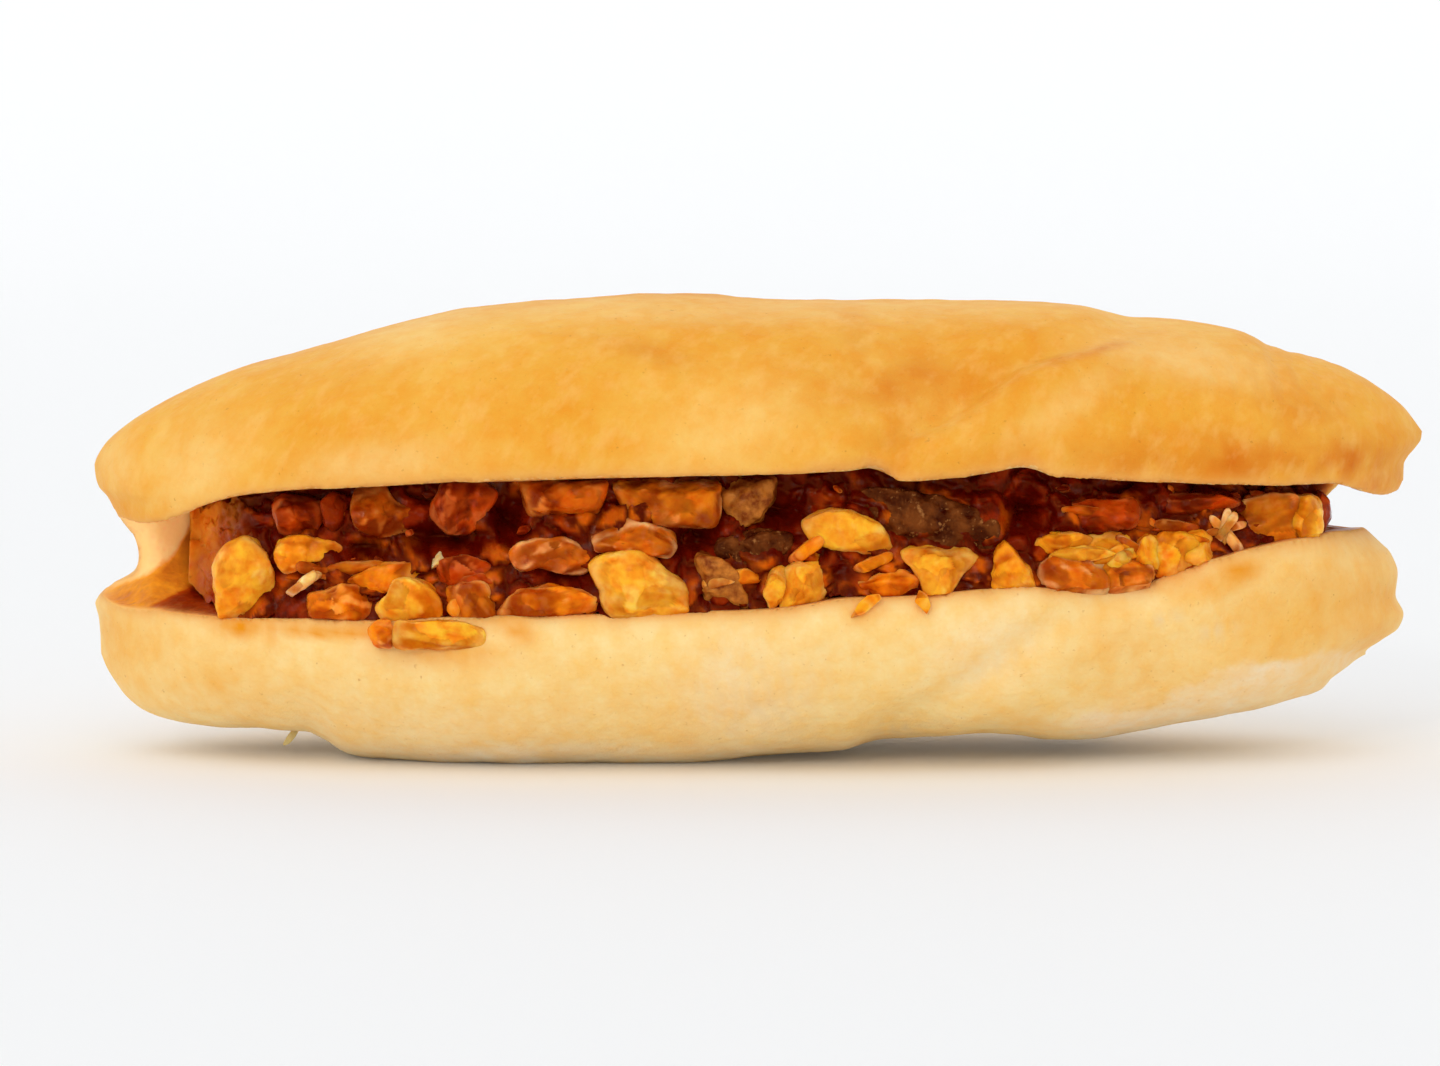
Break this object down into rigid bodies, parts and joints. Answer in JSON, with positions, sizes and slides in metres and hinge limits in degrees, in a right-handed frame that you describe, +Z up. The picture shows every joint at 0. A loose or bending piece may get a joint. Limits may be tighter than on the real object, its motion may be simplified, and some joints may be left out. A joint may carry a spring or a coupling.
{
  "type": "chicken samoli sandwich",
  "caption": "Soft golden samoli roll, slit lengthwise and filled with diced chicken in dark spiced sauce, cooked pepper and onion.",
  "frame": {"origin": "middle of the footprint, on the surface that the roll lies on", "axes": "+X along the roll, to the right as seen from the open side; +Y from the open side to the hinge; +Z up"},
  "size_m": [0.2099, 0.0761, 0.0725],
  "materials": {
    "samoli_bread": "soft golden baked crust, pale cream below, matt with a faint sheen",
    "spiced_chicken": "golden to red-brown cooked meat, glossy with sauce",
    "cooked_onion": "soft brown translucent onion, wet",
    "cooked_pepper": "dark olive-brown skin, wet and glossy"
  },
  "bodies": {
    "root": {"samoli_roll": "samoli_bread", "chicken_filling": "spiced_chicken", "onion_front": "cooked_onion", "onion_top": "cooked_onion", "pepper_slab": "cooked_pepper", "pepper_scrap": "cooked_pepper"}
  },
  "joints": []
}
